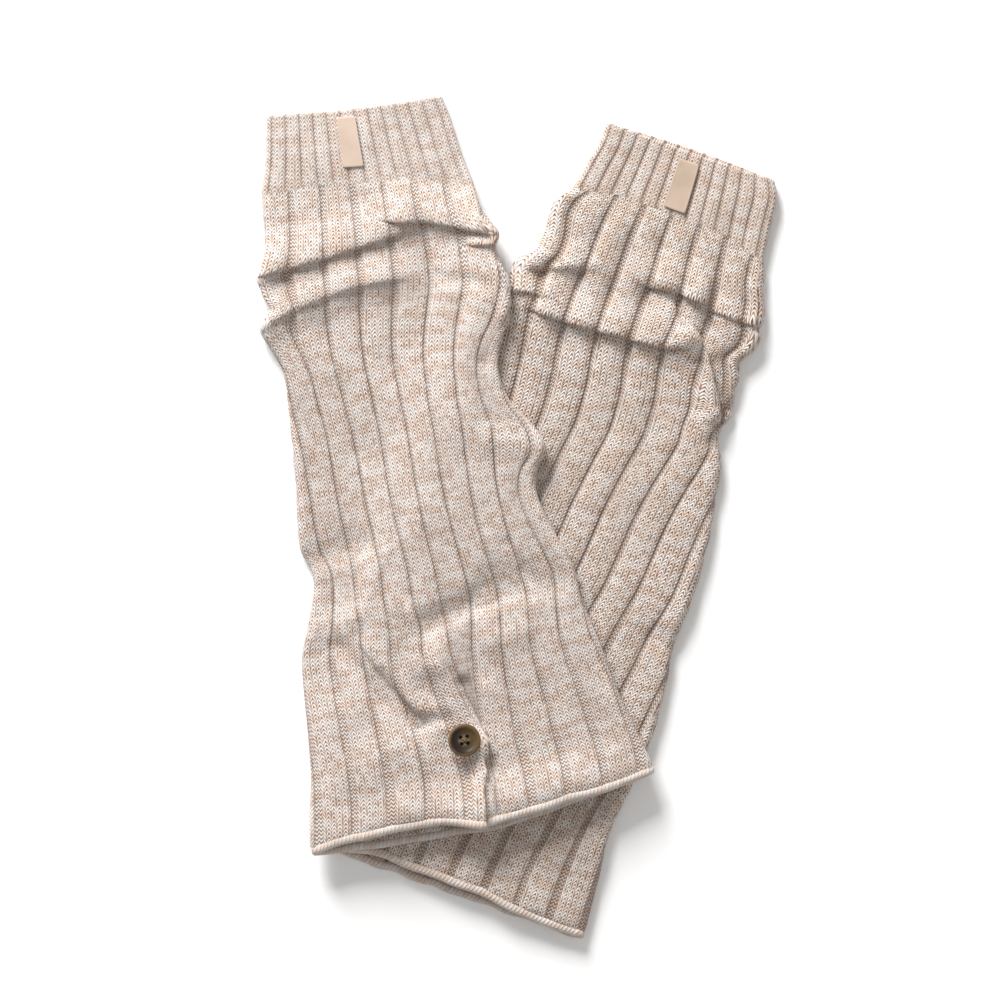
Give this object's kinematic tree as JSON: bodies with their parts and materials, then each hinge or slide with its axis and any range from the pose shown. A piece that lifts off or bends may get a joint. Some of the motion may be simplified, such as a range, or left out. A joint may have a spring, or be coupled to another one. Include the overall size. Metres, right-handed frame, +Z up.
{
  "type": "pair of leg warmers",
  "caption": "Long ribbed knit tubes for the lower legs, laid flat and crossed, with narrow-ribbed cuffs, rolled edges and a button near the hem.",
  "frame": {"origin": "middle of the pair in plan, on the surface it lies on, at the flat underside of the right leg warmer", "axes": "+Z up out of the surface, +Y from the hems towards the cuffs, +X to the right as seen from above"},
  "size_m": [0.2854, 0.4639, 0.0218],
  "materials": {
    "leg_knit": "soft marled rib knit",
    "cuff_knit": "soft marled narrow-rib knit",
    "rolled_edge": "soft marled rolled knit edge",
    "label": "smooth matt, bare",
    "button": "polished, horn-like"
  },
  "bodies": {
    "root": {"cuff_a": "cuff_knit", "leg_a": "leg_knit", "hem_a": "rolled_edge", "label_a": "label", "button_a": "button", "cuff_b": "cuff_knit", "leg_b": "leg_knit", "hem_b": "rolled_edge", "label_b": "label", "button_b": "button"}
  },
  "joints": []
}
